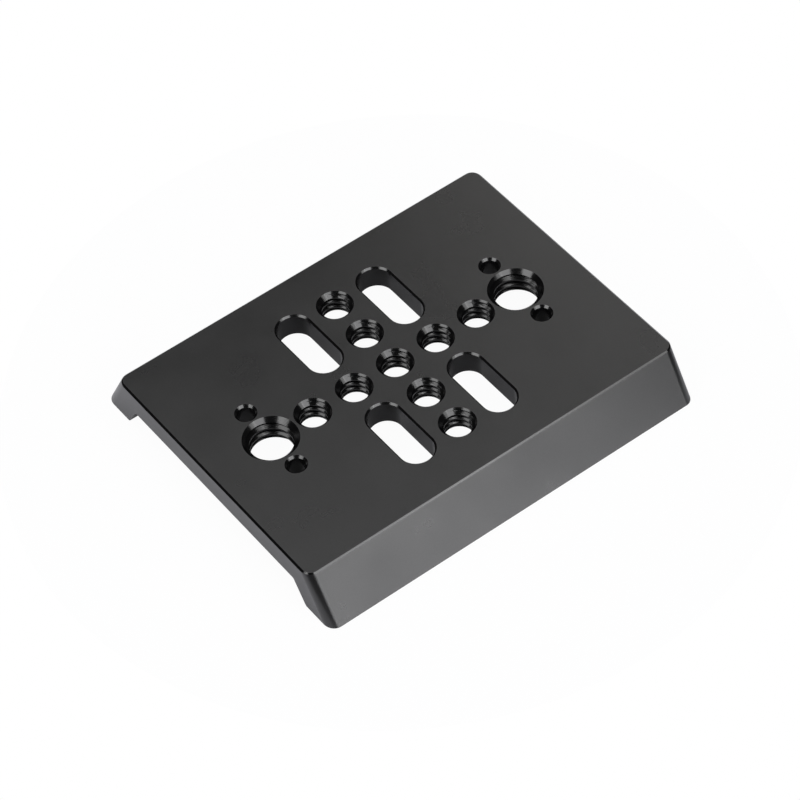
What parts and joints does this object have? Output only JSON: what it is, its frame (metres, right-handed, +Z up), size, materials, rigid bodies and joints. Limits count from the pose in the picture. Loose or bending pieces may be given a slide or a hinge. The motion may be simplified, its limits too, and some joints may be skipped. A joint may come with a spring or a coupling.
{
  "type": "tripod quick release plate",
  "caption": "Dovetail quick release plate for a tripod head: a flat web on leaning feet, with a cross of tapped camera screw holes, locating pin holes and slots.",
  "frame": {"origin": "centre of the plate, level with the underside of its feet", "axes": "+X along the plate and its dovetail, +Y across it, +Z up out of the top face"},
  "size_m": [0.08, 0.0686, 0.0097],
  "materials": {
    "anodised": "satin black anodised"
  },
  "bodies": {
    "root": {"plate": "anodised"}
  },
  "joints": []
}
